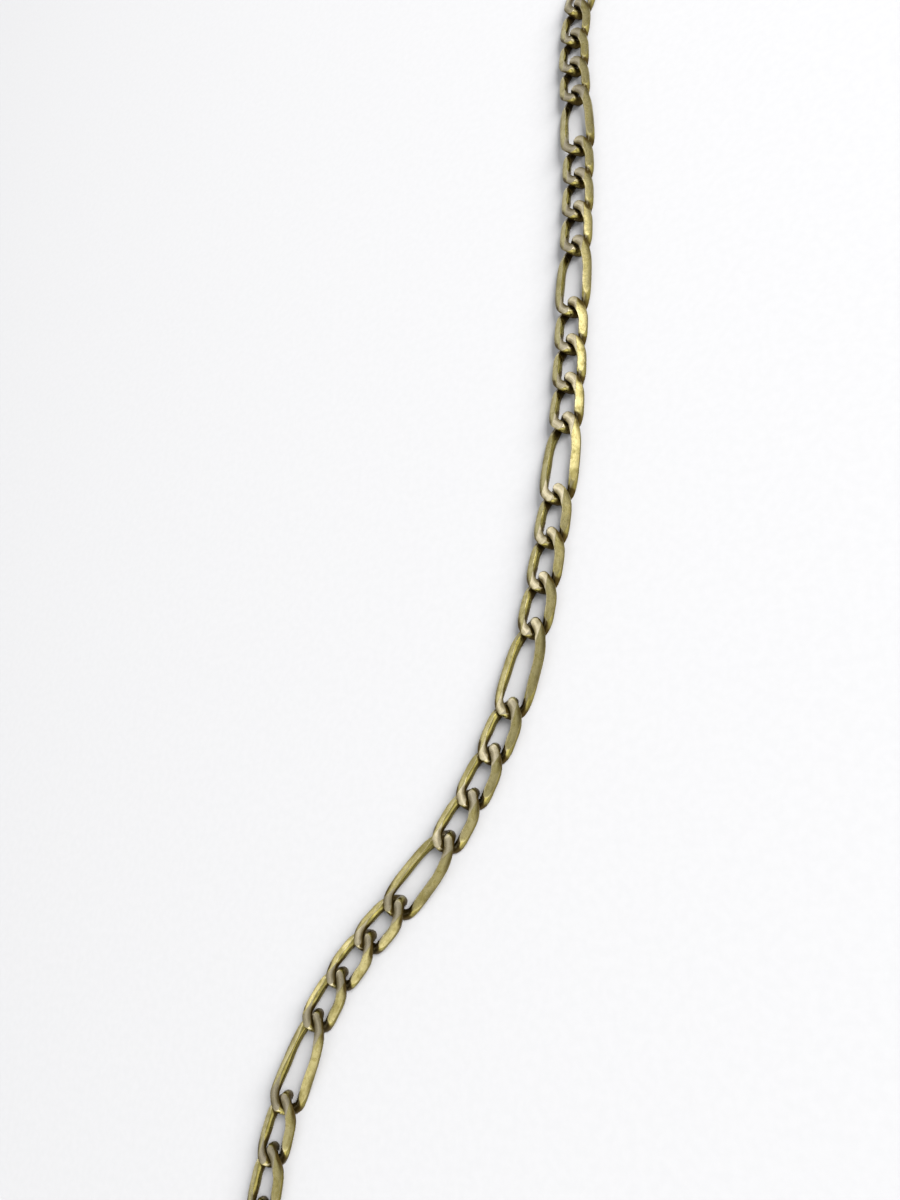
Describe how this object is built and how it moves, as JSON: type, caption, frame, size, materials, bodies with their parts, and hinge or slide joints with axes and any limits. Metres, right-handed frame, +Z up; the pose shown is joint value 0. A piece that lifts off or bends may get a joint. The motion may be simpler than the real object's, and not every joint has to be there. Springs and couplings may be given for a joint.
{
  "type": "figaro chain necklace",
  "caption": "Figaro neck chain of twisted, flat-filed oval links, short ones between long ones, closed by a plain clasp and lying as a loop",
  "frame": {"origin": "on the surface that the chain lies on, under the middle of its box", "axes": "+Z is up, away from the surface, and the chain is thinnest along it; the loop is longest along Y"},
  "size_m": [0.1247, 0.2534, 0.0024],
  "materials": {
    "chain_metal": "aged and tarnished gold-coloured metal, filed flat and polished by wear"
  },
  "bodies": {
    "root": {"chain_front": "chain_metal", "chain_rear": "chain_metal", "clasp": "chain_metal"}
  },
  "joints": []
}
